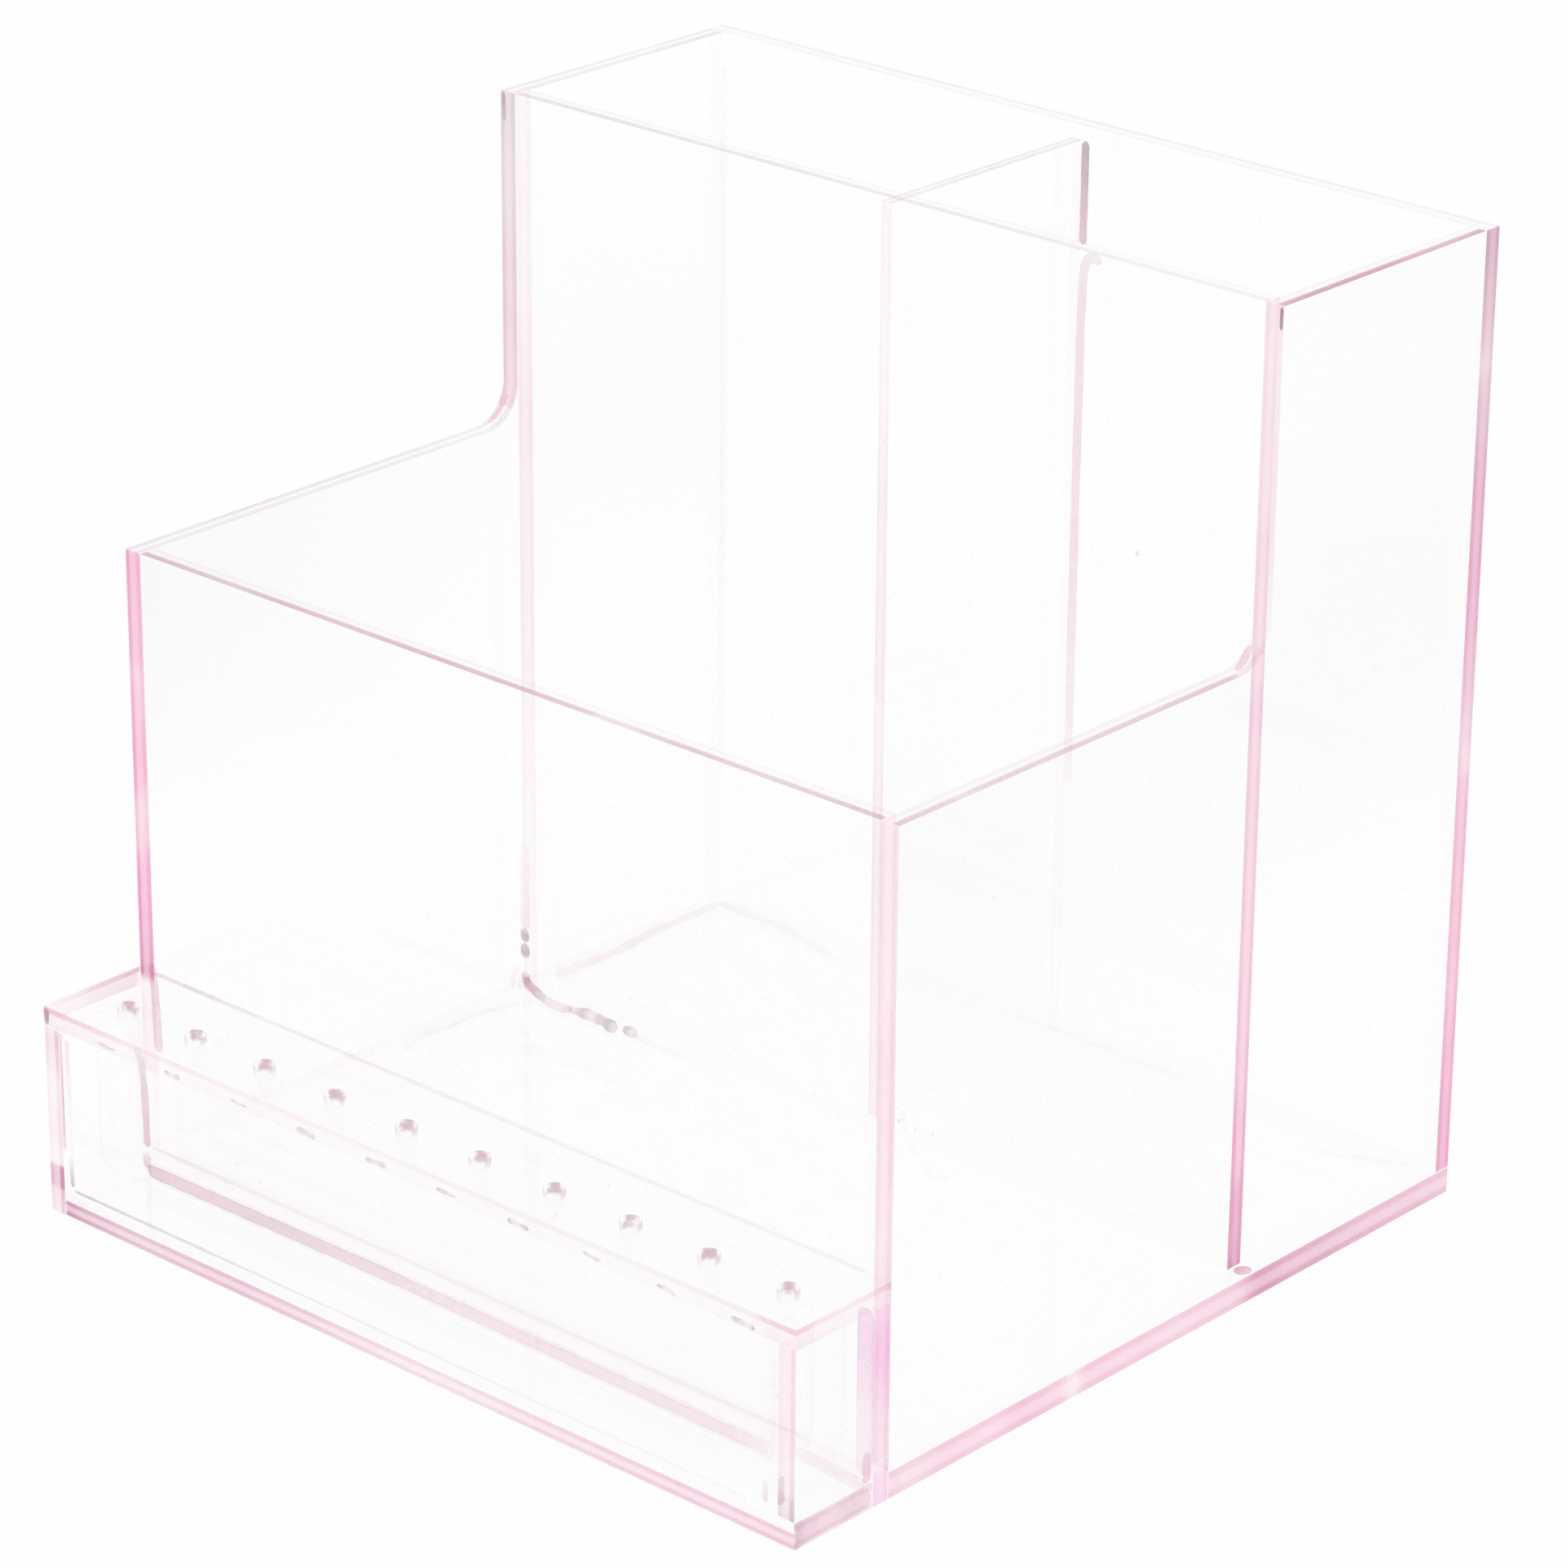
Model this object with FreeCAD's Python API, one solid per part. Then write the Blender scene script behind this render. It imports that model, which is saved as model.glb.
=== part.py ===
# Brush holder of clear tinted acrylic sheet: a stepped body with a low compartment in front and two tall
# ones behind it, a tool rack along its foot, and a moulded drawer that slides out from under the rack.
# Millimetres. +Z is up, +X is to the right, +Y is to the back. The origin is on the ground, under the
# middle of the whole holder.
import FreeCAD, Part

import math
import os

from FreeCAD import Vector

# Driving sizes: the body.
body_width = 140.0
body_depth = 120.0
tall_height = 143.0
low_height = 94.0
step_setback = 73.5
sheet_thickness = 3.0
base_thickness = 4.0
step_corner_radius = 6.0
divider_thickness = 2.0
divider_drop = 2.0

# Driving sizes: the tool rack.
rack_depth = 18.0
rack_height = 31.5
rack_sheet_thickness = 3.0
rack_base_thickness = 4.0
tool_hole_count = 10
tool_hole_diameter = 3.0
tool_hole_end_margin = 8.5
tool_hole_front_margin = 8.0

# Driving sizes: the drawer and the gaps that it runs in.
drawer_wall = 2.2
drawer_floor = 3.5
drawer_corner_radius = 1.8
drawer_inside_radius = 4.0
drawer_floor_fillet = 2.5
drawer_side_gap = 0.6
drawer_back_gap = 0.5
drawer_top_gap = 0.5
drawer_bottom_gap = 0.3

# Planes that the pieces share.
half_width = body_width / 2
rack_front = -(rack_depth + body_depth) / 2
body_front = rack_front + rack_depth
body_back = body_front + body_depth
back_panel_front = body_back - sheet_thickness
side_inner = half_width - sheet_thickness
step_front = body_front + step_setback
middle_panel_back = step_front + sheet_thickness
rack_wall_front = body_front - rack_sheet_thickness
rack_plate_bottom = rack_height - rack_sheet_thickness
rack_inner = half_width - rack_sheet_thickness


def block(x_range, y_range, z_range):
    """A square-edged solid between two planes each way."""
    low = Vector(x_range[0], y_range[0], z_range[0])
    return Part.makeBox(
        x_range[1] - x_range[0],
        y_range[1] - y_range[0],
        z_range[1] - z_range[0],
        low,
    )


def upright_edges(solid):
    """The edges of a solid that run straight along Z."""
    edges = []
    for edge in solid.Edges:
        first, last = edge.Vertexes[0].Point, edge.Vertexes[-1].Point
        if math.hypot(first.x - last.x, first.y - last.y) < 1e-6:
            edges.append(edge)
    return edges


def edges_at_height(solid, height):
    """The edges of a solid that lie wholly in one level plane."""
    return [
        edge
        for edge in solid.Edges
        if abs(edge.BoundBox.ZMin - height) < 1e-6 and abs(edge.BoundBox.ZMax - height) < 1e-6
    ]


def side_panel(outer_x, inner_x):
    """An L-shaped side: low in front, tall behind, with one rounded inside corner at the step."""
    radius = step_corner_radius
    centre_y = step_front - radius
    centre_z = low_height + radius
    reach = radius * math.sqrt(0.5)
    x = min(outer_x, inner_x)

    def at(y, z):
        return Vector(x, y, z)

    corners_before = [
        at(centre_y, low_height),
        at(body_front, low_height),
        at(body_front, base_thickness),
        at(back_panel_front, base_thickness),
        at(back_panel_front, tall_height),
        at(step_front, tall_height),
        at(step_front, centre_z),
    ]
    runs = [
        Part.LineSegment(start, end).toShape()
        for start, end in zip(corners_before, corners_before[1:])
    ]
    bend = Part.Arc(
        corners_before[-1],
        at(centre_y + reach, centre_z - reach),
        corners_before[0],
    ).toShape()
    outline = Part.Wire(runs + [bend])
    return Part.Face(outline).extrude(Vector(abs(outer_x - inner_x), 0, 0))


def base_plate():
    """The floor of all three compartments. The other sheets stand on it."""
    return block((-half_width, half_width), (body_front, body_back), (0, base_thickness))


def front_panel():
    """The low front of the body, between the two side panels."""
    return block(
        (-side_inner, side_inner),
        (body_front, body_front + sheet_thickness),
        (base_thickness, low_height),
    )


def middle_panel():
    """The tall wall at the step, flush with the front edges of the tall part of the sides."""
    return block(
        (-side_inner, side_inner),
        (step_front, middle_panel_back),
        (base_thickness, tall_height),
    )


def back_panel():
    """The full-width back. It covers the back edges of the side panels."""
    return block(
        (-half_width, half_width),
        (back_panel_front, body_back),
        (base_thickness, tall_height),
    )


def brush_divider():
    """The sheet that splits the tall part in two. Its top stops short of the rims."""
    return block(
        (-divider_thickness / 2, divider_thickness / 2),
        (middle_panel_back, back_panel_front),
        (base_thickness, tall_height - divider_drop),
    )


def rack_back_wall():
    """The wall that joins the rack to the foot of the body, with its cut ends showing at the sides."""
    return block(
        (-half_width, half_width),
        (rack_wall_front, body_front),
        (0, rack_plate_bottom),
    )


def rack_end(outer_x, inner_x, foot):
    """One end of the rack, from its foot up to the hole plate that it carries."""
    return block(
        (min(outer_x, inner_x), max(outer_x, inner_x)),
        (rack_front, rack_wall_front),
        (foot, rack_plate_bottom),
    )


def rack_base_plate():
    """The bottom of the rack, under the drawer. It stops beside the left end and carries the right one."""
    return block(
        (-rack_inner, half_width),
        (rack_front, rack_wall_front),
        (0, rack_base_thickness),
    )


def tool_hole_places():
    """The middles of the tool holes, as X positions spread evenly between the end margins."""
    first = -half_width + tool_hole_end_margin
    pitch = (body_width - 2 * tool_hole_end_margin) / (tool_hole_count - 1)
    return [first + pitch * i for i in range(tool_hole_count)]


def rack_top_plate():
    """The plate that holds the tools upright, with one row of through holes along it."""
    plate = block(
        (-half_width, half_width),
        (rack_front, body_front),
        (rack_plate_bottom, rack_height),
    )
    row_y = rack_front + tool_hole_front_margin
    drills = [
        Part.makeCylinder(
            tool_hole_diameter / 2,
            rack_sheet_thickness,
            Vector(x, row_y, rack_plate_bottom),
            Vector(0, 0, 1),
        )
        for x in tool_hole_places()
    ]
    return plate.cut(Part.makeCompound(drills)).Solids[0]


def drawer():
    """One moulded tray. It is flush with the front of the rack when shut and slides out towards -Y."""
    outer_x = rack_inner - drawer_side_gap
    outer_back = rack_wall_front - drawer_back_gap
    outer_bottom = rack_base_thickness + drawer_bottom_gap
    outer_top = rack_plate_bottom - drawer_top_gap
    body = block((-outer_x, outer_x), (rack_front, outer_back), (outer_bottom, outer_top))
    body = body.makeFillet(drawer_corner_radius, upright_edges(body))

    inner_x = outer_x - drawer_wall
    inner_front = rack_front + drawer_wall
    inner_back = outer_back - drawer_wall
    inner_bottom = outer_bottom + drawer_floor
    inside_radius = min(drawer_inside_radius, 0.45 * (inner_back - inner_front))
    hollow = block((-inner_x, inner_x), (inner_front, inner_back), (inner_bottom, outer_top))
    hollow = hollow.makeFillet(inside_radius, upright_edges(hollow))
    floor_fillet = min(drawer_floor_fillet, 0.9 * inside_radius)
    hollow = hollow.makeFillet(floor_fillet, edges_at_height(hollow, inner_bottom))
    return body.cut(hollow).Solids[0]


NODES = {
    "base_plate": base_plate(),
    "left_side_panel": side_panel(-half_width, -side_inner),
    "right_side_panel": side_panel(half_width, side_inner),
    "front_panel": front_panel(),
    "middle_panel": middle_panel(),
    "back_panel": back_panel(),
    "brush_divider": brush_divider(),
    "rack_back_wall": rack_back_wall(),
    "rack_left_end": rack_end(-half_width, -rack_inner, 0),
    "rack_right_end": rack_end(half_width, rack_inner, rack_base_thickness),
    "rack_base_plate": rack_base_plate(),
    "rack_top_plate": rack_top_plate(),
    "drawer": drawer(),
}

os.makedirs("parts", exist_ok=True)
for name, shape in NODES.items():
    shape.exportStep(f"parts/{name}.step")
    box = shape.BoundBox
    print(
        f"{name:18s} {shape.ShapeType:6s} valid={shape.isValid()} volume={shape.Volume:9.1f}"
        f" x {box.XMin:6.1f}..{box.XMax:6.1f} y {box.YMin:6.1f}..{box.YMax:6.1f}"
        f" z {box.ZMin:6.1f}..{box.ZMax:6.1f}"
    )
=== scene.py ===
# %% [markdown]
# # A brush holder in tinted clear acrylic
#
# This lesson dresses a finished model of a desktop holder: clear acrylic sheets joined with
# solvent cement, and one moulded drawer in a low rack at the front.
# The model is loaded as a fixed frame, in metres. Everything below is built around it, so the
# sizes always come from the frame and nothing has to be fitted by eye.

# %% Load the frame
import math
import random

import bmesh
import bpy
from mathutils import Matrix, Vector, noise as wave_noise


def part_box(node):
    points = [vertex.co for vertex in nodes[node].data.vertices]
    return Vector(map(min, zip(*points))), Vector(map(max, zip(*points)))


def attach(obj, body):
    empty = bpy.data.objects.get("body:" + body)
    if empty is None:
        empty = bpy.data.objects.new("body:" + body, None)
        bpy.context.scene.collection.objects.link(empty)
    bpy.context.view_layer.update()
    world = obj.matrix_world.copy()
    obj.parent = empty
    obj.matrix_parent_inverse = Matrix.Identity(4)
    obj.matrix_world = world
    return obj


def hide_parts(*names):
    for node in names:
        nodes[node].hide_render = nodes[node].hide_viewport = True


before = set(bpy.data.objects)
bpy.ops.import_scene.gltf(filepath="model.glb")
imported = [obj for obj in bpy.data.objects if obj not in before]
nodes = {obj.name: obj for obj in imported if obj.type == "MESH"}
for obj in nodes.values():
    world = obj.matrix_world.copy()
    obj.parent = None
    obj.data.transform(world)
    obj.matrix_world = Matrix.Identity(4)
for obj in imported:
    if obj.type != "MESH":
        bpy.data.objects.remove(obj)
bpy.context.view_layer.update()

MM = 0.001


def in_mm(box, digits=1):
    return [[round(value / MM, digits) for value in corner] for corner in box]


# %% [markdown]
# ## The camera
#
# A product like this is shown from one front corner, a little above, with a long lens so that
# the upright sheets stay nearly parallel. A camera can be aimed with a constraint, but a plain
# matrix is clearer here: two angles give the direction it looks back along, a third one rolls it
# by a hair, and the three axes of the camera become the columns of its matrix.

# %% Place the camera
CAMERA_PLACE = (0.5223, -0.57617, 0.39203)
CAMERA_AZIMUTH, CAMERA_ELEVATION, CAMERA_ROLL = 41.905, 22.89, 0.496
LENS_MM, SENSOR_MM, FARTHEST = 141.687, 36, 50


def camera_matrix(place, azimuth, elevation, roll):
    azimuth, elevation, roll = map(math.radians, (azimuth, elevation, roll))
    level = math.cos(elevation)
    back = Vector((math.sin(azimuth) * level, -math.cos(azimuth) * level, math.sin(elevation)))
    flat_right = Vector((math.cos(azimuth), math.sin(azimuth), 0))
    flat_up = back.cross(flat_right)
    right = flat_right * math.cos(roll) + flat_up * math.sin(roll)
    matrix = Matrix((right, back.cross(right), back)).transposed().to_4x4()
    matrix.translation = Vector(place)
    return matrix


lens = bpy.data.cameras.new("product_camera")
lens.lens, lens.sensor_width, lens.clip_end = LENS_MM, SENSOR_MM, FARTHEST
camera = bpy.data.objects.new("product_camera", lens)
camera.matrix_world = camera_matrix(CAMERA_PLACE, CAMERA_AZIMUTH, CAMERA_ELEVATION, CAMERA_ROLL)
bpy.context.scene.collection.objects.link(camera)
bpy.context.scene.camera = camera
print("camera distance:", round(Vector(CAMERA_PLACE).length, 3), "m")

# %% [markdown]
# ## Small helpers for node trees
#
# A procedural material is a graph of small steps. Adding each node by hand fills a page, so
# these helpers add one node, set its inputs and return its output. An input can be a number or
# the output of an earlier node, and the code then reads like a formula.

# %% Node helpers
def new_material(name):
    material = bpy.data.materials.new(name)
    material.use_nodes = True
    material.node_tree.nodes.clear()
    return material, material.node_tree


def add(tree, kind, inputs=(), output=0, **settings):
    node = tree.nodes.new("ShaderNode" + kind)
    for key, value in settings.items():
        setattr(node, key, value)
    for key, value in dict(inputs).items():
        if isinstance(value, bpy.types.NodeSocket):
            tree.links.new(value, node.inputs[key])
        else:
            node.inputs[key].default_value = value
    return node.outputs[output]


def calc(tree, operation, a, b=0.0, c=0.0):
    return add(tree, "Math", {0: a, 1: b, 2: c}, operation=operation)


def times(tree, a, b):
    return calc(tree, "MULTIPLY", a, b)


def times_plus(tree, a, b, c):
    return calc(tree, "MULTIPLY_ADD", a, b, c)


def mix(tree, share, a, b):
    """Two surfaces in one: share is how much of the second one shows."""
    return add(tree, "MixShader", {0: share, 1: a, 2: b})


def ramp(tree, value, low, high, to_low=0.0, to_high=1.0):
    """A smooth step from to_low to to_high, as value goes from low to high."""
    inputs = {"Value": value, "From Min": low, "From Max": high, "To Min": to_low, "To Max": to_high}
    return add(tree, "MapRange", inputs, interpolation_type="SMOOTHSTEP")


def blend_colour(tree, share, a, b):
    node = tree.nodes.new("ShaderNodeMix")
    node.data_type = "RGBA"
    for key, value in ((0, share), (6, a), (7, b)):
        if isinstance(value, bpy.types.NodeSocket):
            tree.links.new(value, node.inputs[key])
        else:
            node.inputs[key].default_value = value
    return node.outputs[2]


def show(tree, surface):
    """Sends a surface to the output node of its material."""
    output = tree.nodes.new("ShaderNodeOutputMaterial")
    tree.links.new(surface, output.inputs["Surface"])


def noise(tree, place, scale, detail=2.0, roughness=0.5):
    return add(tree, "TexNoise", {"Vector": place, "Scale": scale, "Detail": detail, "Roughness": roughness})


print("node helpers ready")

# %% [markdown]
# ## Numbers that change along a piece
#
# A colour ramp can hold numbers as well as colours. Its red, green and blue are read apart, so
# one ramp says how up to three numbers change from one end of a piece to the other.

# %% Stops along a piece
def split_colour(tree, colour):
    node = tree.nodes.new("ShaderNodeSeparateColor")
    tree.links.new(colour, node.inputs[0])
    return node.outputs


def read_stops(tree, along, stops):
    """Up to three numbers that change smoothly along a piece. A stop is (place from 0 to 1, numbers...)."""
    node = tree.nodes.new("ShaderNodeValToRGB")
    node.color_ramp.interpolation = "EASE"
    tree.links.new(along, node.inputs[0])
    points = node.color_ramp.elements
    for number, (place, *values) in enumerate(stops):
        point = points[number] if number < 2 else points.new(place)
        point.position = place
        point.color = (*values, *[0.0] * (3 - len(values)), 1)
    return split_colour(tree, node.outputs[0])


print("stops ready")

# %% [markdown]
# ## The floor and the light
#
# Clear things have little colour of their own, so they are shown on white in an even light tent.
# The floor could be a light box, but then the object would lose its shadow. Here the floor is a
# white matt surface whose colour is topped up only for the rays that end in the picture, through
# the Light Path node, so it stays white and still keeps a soft shadow.

# %% Floor and world
FLOOR_SIZE = 6.0
FLOOR_GAP = 0.05 * MM
TOP_UP = 0.93
PAPER_SCALE = 40.0
WHITE = (1, 1, 1, 1)


def seen_ray(tree):
    path = tree.nodes.new("ShaderNodeLightPath")
    shown = calc(tree, "MAXIMUM", path.outputs["Is Camera Ray"], path.outputs["Is Glossy Ray"])
    return calc(tree, "MAXIMUM", shown, path.outputs["Is Transmission Ray"])


def matt_floor():
    material, tree = new_material("matt_white_floor")
    place = add(tree, "TexCoord", output=3)
    paper = noise(tree, place, PAPER_SCALE, 3.0)
    colour = blend_colour(tree, paper, (0.93, 0.93, 0.935, 1), (0.97, 0.97, 0.97, 1))
    matt = add(tree, "BsdfDiffuse", {"Color": colour, "Roughness": 1.0})
    glow = add(tree, "Emission", {"Color": WHITE, "Strength": 1.0})
    share = times(tree, seen_ray(tree), TOP_UP)
    show(tree, mix(tree, share, matt, glow))
    return material


def make_floor():
    half = FLOOR_SIZE / 2
    mesh = bpy.data.meshes.new("floor")
    corners = [(-half, -half), (half, -half), (half, half), (-half, half)]
    mesh.from_pydata([(x, y, -FLOOR_GAP) for x, y in corners], [], [(0, 1, 2, 3)])
    mesh.materials.append(matt_floor())
    floor = bpy.data.objects.new("floor", mesh)
    bpy.context.scene.collection.objects.link(floor)
    return floor


floor = make_floor()
world = bpy.data.worlds.new("light_tent")
bpy.context.scene.world = world
world.use_nodes = True
sky = world.node_tree.nodes["Background"]
sky.inputs["Color"].default_value = WHITE
sky.inputs["Strength"].default_value = 1.0
bpy.context.scene.view_settings.view_transform = "Standard"
print("floor side:", FLOOR_SIZE, "m")

# %% [markdown]
# ## Rays through many sheets
#
# A look through this holder crosses a dozen sheets, each with two faces. A ray that runs out of
# steps turns black, so the number of see-through steps goes up. Mirrored and scattered light
# changes little after the first few bounces, so those are kept low to save time.

# %% See-through steps
steps = bpy.context.scene.cycles
steps.transparent_max_bounces = 64
steps.max_bounces, steps.diffuse_bounces, steps.glossy_bounces = 6, 3, 2
print("see-through steps:", steps.transparent_max_bounces)

# %% [markdown]
# ## Eased sheets with a hairline between them
#
# A cut acrylic sheet has flat faces and polished cut edges, and its corners are eased with a
# scraper so that they don't feel sharp. Two cemented sheets touch, but a fine line still shows
# where they meet. The frame's sheets have exact sharp corners and touch face to face.
# Each sheet is therefore copied from its frame node, pulled in by a hair so that no two faces
# lie in the same plane, and its sharp edges are bevelled. The sizes stay those of the frame.

# %% Ease one sheet
X, Y, Z = 0, 1, 2
HAIRLINE = 0.025 * MM
EASE = 0.22 * MM
SHARP_ANGLE, FLAT_ANGLE = math.radians(30), math.radians(1)
SAME_POINT = 1e-6


def pull_in(mesh, low, high):
    """Moves every point towards the middle so that each outside face steps back by one hairline."""
    middle = (low + high) / 2
    shrink = [1 - HAIRLINE * 2 / (high[axis] - low[axis]) for axis in (X, Y, Z)]
    for vertex in mesh.verts:
        for axis in (X, Y, Z):
            vertex.co[axis] = middle[axis] + (vertex.co[axis] - middle[axis]) * shrink[axis]


def to_object(name, mesh):
    data = bpy.data.meshes.new(name)
    mesh.to_mesh(data)
    mesh.free()
    piece = bpy.data.objects.new(name, data)
    bpy.context.scene.collection.objects.link(piece)
    return piece


def eased_sheet(name, node):
    mesh = bmesh.new()
    mesh.from_mesh(nodes[node].data)
    bmesh.ops.remove_doubles(mesh, verts=mesh.verts, dist=SAME_POINT)
    bmesh.ops.dissolve_limit(mesh, angle_limit=FLAT_ANGLE, verts=mesh.verts, edges=mesh.edges)
    pull_in(mesh, *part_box(node))
    sharp = [e for e in mesh.edges if len(e.link_faces) == 2 and e.calc_face_angle(0) > SHARP_ANGLE]
    bmesh.ops.bevel(
        mesh, geom=sharp, offset=EASE, segments=2, profile=0.6, affect="EDGES", clamp_overlap=True)
    bmesh.ops.triangulate(mesh, faces=[f for f in mesh.faces if len(f.verts) > 4])
    sheet = to_object(name, mesh)
    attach(sheet, "holder")
    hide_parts(node)
    return sheet


print("hairline:", HAIRLINE / MM, "mm, eased corner:", EASE / MM, "mm")

# %% [markdown]
# ## The clear faces
#
# Looked at through its face, a thin sheet of tinted acrylic is nearly colourless. It lets the
# light through with a trace of tint, mirrors a little of the room, more at a glancing angle, and
# holds a few smudges and specks of dust. Real glass shading would follow every ray inside the
# sheet, which takes hundreds of bounces here. A see-through shader with a thin mirror over it
# gives the same look for a flat sheet, and simpler viewers can show it too.

# %% Shader of a clear face
FACE_TINT = (0.9999, 0.9996, 0.9998, 1)
# The grey of the painted sheen: a soft grey reflection painted into some faces.
SHEEN_GREY = (0.890, 0.885, 0.888, 1)
SMUDGE = (0.90, 0.88, 0.89, 1)
ACRYLIC_IOR = 1.49
MIRROR_HEAD_ON = 0.04
MIRROR_SHARE = 0.7
SHEEN_RISE, SHEEN_FALL, SHEEN_LEAST = (48 * MM, 88 * MM), (95 * MM, 130 * MM), 0.35
WAVE_SCALE, PATCH_SCALE, SMUDGE_SCALE, DUST_SCALE = 26.0, 9.0, 17.0, 700.0


def mirror_share(tree):
    """How much a clear surface mirrors: a little head on, and more at a glancing angle."""
    glancing = add(tree, "LayerWeight", {"Blend": 0.5}, output="Facing")
    rise = calc(tree, "POWER", glancing, 5.0)
    rise = times_plus(tree, rise, 1 - MIRROR_HEAD_ON, MIRROR_HEAD_ON)
    return times(tree, rise, MIRROR_SHARE)


def painted_sheen_tint(tree, place, parts, painted_sheen):
    """How grey the painted sheen is, a soft grey reflection painted into the tint of a face, and the two
    places in y where it fades in.
    """
    amount, clear_y, grey_y = painted_sheen
    rise = ramp(tree, parts[Z], *SHEEN_RISE, 0.0, amount)
    fall = ramp(tree, parts[Z], *SHEEN_FALL, 1.0, SHEEN_LEAST)
    aside = ramp(tree, parts[Y], clear_y * MM, grey_y * MM, SHEEN_LEAST, 1.0)
    patch = ramp(tree, noise(tree, place, PATCH_SCALE, 1.0), 0.3, 0.7, 0.75, 1.2)
    height = times(tree, rise, fall)
    share = times(tree, height, times(tree, aside, patch))
    return blend_colour(tree, share, FACE_TINT, SHEEN_GREY)


def acrylic(tree, colour, roughness, bump=None):
    inputs = {"Base Color": colour, "Roughness": roughness, "IOR": ACRYLIC_IOR}
    return add(tree, "BsdfPrincipled", inputs | ({"Normal": bump} if bump else {}))


def bumps(tree, height, strength, depth):
    return add(tree, "Bump", {"Height": height, "Strength": strength, "Distance": depth * MM})


def clear_and_mirror(tree, tint, wave):
    """A see-through surface with a thin mirror over it."""
    through = add(tree, "BsdfTransparent", {"Color": tint})
    mirror = add(tree, "BsdfGlossy", {"Color": WHITE, "Roughness": 0.05, "Normal": wave})
    return mix(tree, mirror_share(tree), through, mirror)


def clear_face(tree, place, parts, painted_sheen):
    wave = bumps(tree, noise(tree, place, WAVE_SCALE, 1.0), 0.04, 0.4)
    # Some sheets get a painted sheen, a soft grey reflection painted into the tint between two heights.
    tint = painted_sheen_tint(tree, place, parts, painted_sheen) if painted_sheen else FACE_TINT
    clean = clear_and_mirror(tree, tint, wave)
    smudges = ramp(tree, noise(tree, place, SMUDGE_SCALE, 3.0), 0.45, 0.75, 0.0, 0.006)
    dust = ramp(tree, noise(tree, place, DUST_SCALE, 1.0), 0.76, 0.80, 0.0, 0.10)
    return mix(tree, calc(tree, "ADD", smudges, dust), clean, acrylic(tree, SMUDGE, 0.6))


print("mirrored head on:", MIRROR_HEAD_ON * MIRROR_SHARE)

# %% [markdown]
# ## The cut edges
#
# Through a cut edge the eye looks along the whole width of the sheet, so the trace of tint adds
# up to a clear pink band, with a duskier line inside each corner. Seen from inside the sheet,
# the same edge is a mirror and nearly vanishes. The finish is built from the sheet's own shape:
# the surface normal says which edge this is, and stops along it set how strong and how dusky
# the band is from place to place.

# %% Strength of a cut edge
PINK = (1.000, 0.390, 0.640, 1)
DUSKY = (0.400, 0.250, 0.320, 1)
MAGENTA = (1.000, 0.400, 0.790, 1)
USUAL_EDGE = dict(
    colour=PINK, rims=(1.0, 1.0), rim_dusk=0.16, core=0.82, front_band=None, lines=None, line_dusk=0.55,
    flaws=0.3, inside=0.03, painted_sheen=None)
EDGE_FACING = 0.6
DIRECTIONS = {"-x": (X, -1), "+x": (X, 1), "-y": (Y, -1), "+y": (Y, 1), "-z": (Z, -1), "+z": (Z, 1)}


def split(tree, vector):
    node = tree.nodes.new("ShaderNodeSeparateXYZ")
    tree.links.new(vector, node.inputs[0])
    return node.outputs


def pick(tree, share, a, b):
    return add(tree, "Mix", {0: share, 2: a, 3: b}, data_type="FLOAT")


def edge_stops(tree, part, span, value):
    """A value is a plain number, or stops whose places are millimetres along the edge."""
    if not isinstance(value, list):
        return value, 0.0, 0.0
    low, length = span[0], span[1] - span[0]
    run = times_plus(tree, part, 1 / length, -low / length)
    return read_stops(tree, run, [((stop[0] * MM - low) / length, *stop[1:]) for stop in value])


def edge_strength(tree, facing, runs, look):
    """Adds up the strength and the duskiness of each cut edge of a sheet."""
    strength, dusk = 0.0, 0.0
    for way, value in look["ends"].items():
        axis, sign = DIRECTIONS[way]
        run_axis = X + Y + Z - look["thin"] - axis
        towards = calc(tree, "GREATER_THAN", times(tree, facing[axis], sign), EDGE_FACING)
        read = edge_stops(tree, *runs[run_axis], value)
        strength = times_plus(tree, towards, read[0], strength)
        if isinstance(value, list):
            dusk = times_plus(tree, towards, read[1], dusk)
    return strength, dusk


print("edge colours:", PINK[:3], DUSKY[:3])

# %% [markdown]
# ## Fine lines along the corners
#
# The place across the thickness draws the lines. It runs from -1 on one face to 1 on the other.

# %% Lines of a cut edge
TOP_CLEAR = 0.012


def top_lines(tree, across, runs, look):
    """The top edge of an upright sheet is clear between two fine lines, one along each corner."""
    read = edge_stops(tree, *runs[X + Y - look["thin"]], look["lines"])
    total = TOP_CLEAR
    for side, value in zip((-1, 1), read):
        near = ramp(tree, times(tree, across, side), 0.0, 0.45)
        total = times_plus(tree, near, value, total)
    return total


def rim_lines(tree, across, rims):
    """The dusky line inside each corner of a cut edge: rims are its strengths on the low and high side."""
    total = 0.0
    for side, value in zip((-1, 1), rims):
        place = times(tree, across, side)
        line = times(tree, ramp(tree, place, 0.25, 0.60), ramp(tree, place, 0.80, 1.0, 1.0, 0.5))
        total = times_plus(tree, line, value, total)
    return total


def tinted_band(tree, across, facing, band):
    """Keeps a front edge's tint in part of the thickness: the place across that band, and the share in it."""
    if band is None:
        return across, None
    middle, half = (band[0] + band[1]) / 2, (band[1] - band[0]) / 2
    place = times_plus(tree, across, 1 / half, -middle / half)
    share = ramp(tree, calc(tree, "ABSOLUTE", place), 1.0, 1.12, 1.0, 0.06)
    on_front = calc(tree, "LESS_THAN", facing[Y], -EDGE_FACING)
    return pick(tree, on_front, across, place), pick(tree, on_front, 1.0, share)


print("lines ready")

# %% [markdown]
# ## The finish of a cut edge
#
# Here the strength and the lines meet. Slow noise makes the edge uneven, as a polish by hand is.

# %% Shader of a cut edge
RIM_SHARE = 0.35
STRETCH_SCALE, POLISH_SCALE = 42.0, 900.0


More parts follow.
